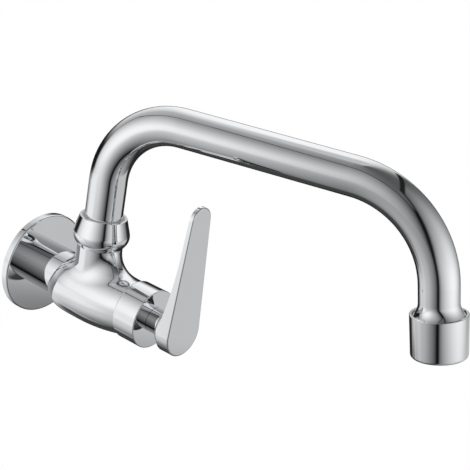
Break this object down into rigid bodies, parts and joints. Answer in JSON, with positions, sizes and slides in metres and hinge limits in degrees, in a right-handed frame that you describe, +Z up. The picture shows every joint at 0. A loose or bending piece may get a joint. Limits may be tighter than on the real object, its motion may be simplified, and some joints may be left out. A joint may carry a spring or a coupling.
{
  "type": "wall-mounted basin tap",
  "caption": "Single-lever wall-mounted cold tap with a round wall flange, a curved body and a high swivel pipe spout ending in an aerator.",
  "frame": {"origin": "on the inlet axis in the plane of the wall", "axes": "+Z up, +Y into the wall along the inlet, so the tap stands out along -Y; +X to the right as seen from in front"},
  "size_m": [0.0931, 0.2494, 0.137],
  "materials": {
    "chrome": "polished",
    "brass": "machined",
    "steel": "satin",
    "black_rubber": "matt",
    "disc_ceramic": "lapped",
    "white_plastic": "matt",
    "grey_plastic": "matt",
    "fibre": "pressed fibre"
  },
  "bodies": {
    "valve_body": {"wall_flange": "chrome", "flange_gasket": "black_rubber", "inlet_filter": "steel", "tap_body": "chrome", "headwork_body": "brass", "headwork_washer": "fibre", "disc_seal": "black_rubber", "fixed_disc": "disc_ceramic", "bonnet": "chrome", "spout_nut": "chrome", "thrust_washer": "white_plastic", "split_ring": "white_plastic", "gland_ring": "grey_plastic"},
    "handle": {"lever": "chrome", "lever_grub_screw": "steel", "spindle": "brass", "spindle_o_rings": "black_rubber", "spindle_clip": "steel", "moving_disc": "disc_ceramic"},
    "swivel_spout": {"spout_tail": "brass", "spout_o_rings": "black_rubber", "spout_tube": "chrome", "outlet_collar": "chrome", "aerator_housing": "chrome", "aerator_seal": "black_rubber", "aerator_cartridge": "grey_plastic", "aerator_screen": "steel"}
  },
  "joints": [
    {"name": "lever_turn", "type": "hinge", "parent": "valve_body", "child": "handle", "pos_m": [0, 0, 0], "axis": [0, -1, 0], "range_deg": [0, 90]},
    {"name": "spout_swivel", "type": "hinge", "parent": "valve_body", "child": "swivel_spout", "pos_m": [0, -0.042, 0], "axis": [0, 0, 1], "range_deg": [-111, 79]}
  ]
}
